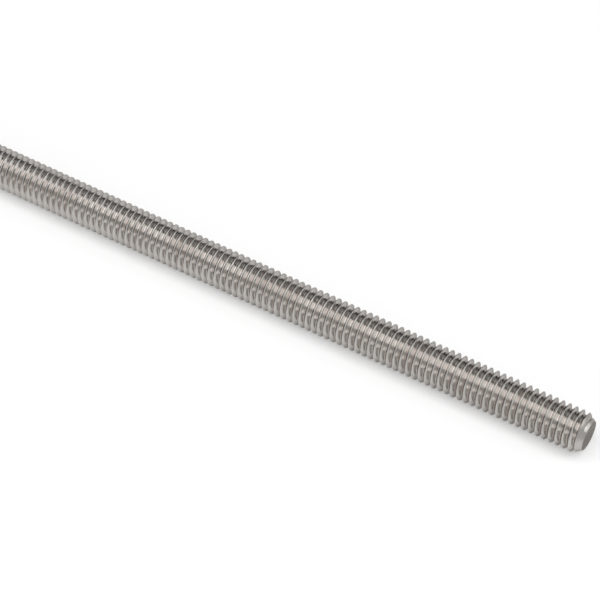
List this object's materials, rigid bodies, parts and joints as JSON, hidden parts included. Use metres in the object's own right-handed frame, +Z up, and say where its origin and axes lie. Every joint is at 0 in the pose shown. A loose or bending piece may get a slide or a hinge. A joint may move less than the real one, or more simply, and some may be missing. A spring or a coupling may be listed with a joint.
{
  "type": "threaded rod",
  "caption": "Straight bare steel rod with a right-hand screw thread along its whole length and a bevel at each end.",
  "frame": {"origin": "middle of the rod, on its axis", "axes": "+X along the rod's axis, +Z up with the rod lying level; the two ends are alike"},
  "size_m": [0.3048, 0.0094, 0.0096],
  "materials": {
    "steel": "bare rolled steel, warm grey, satin"
  },
  "bodies": {
    "root": {"threaded_rod": "steel"}
  },
  "joints": []
}
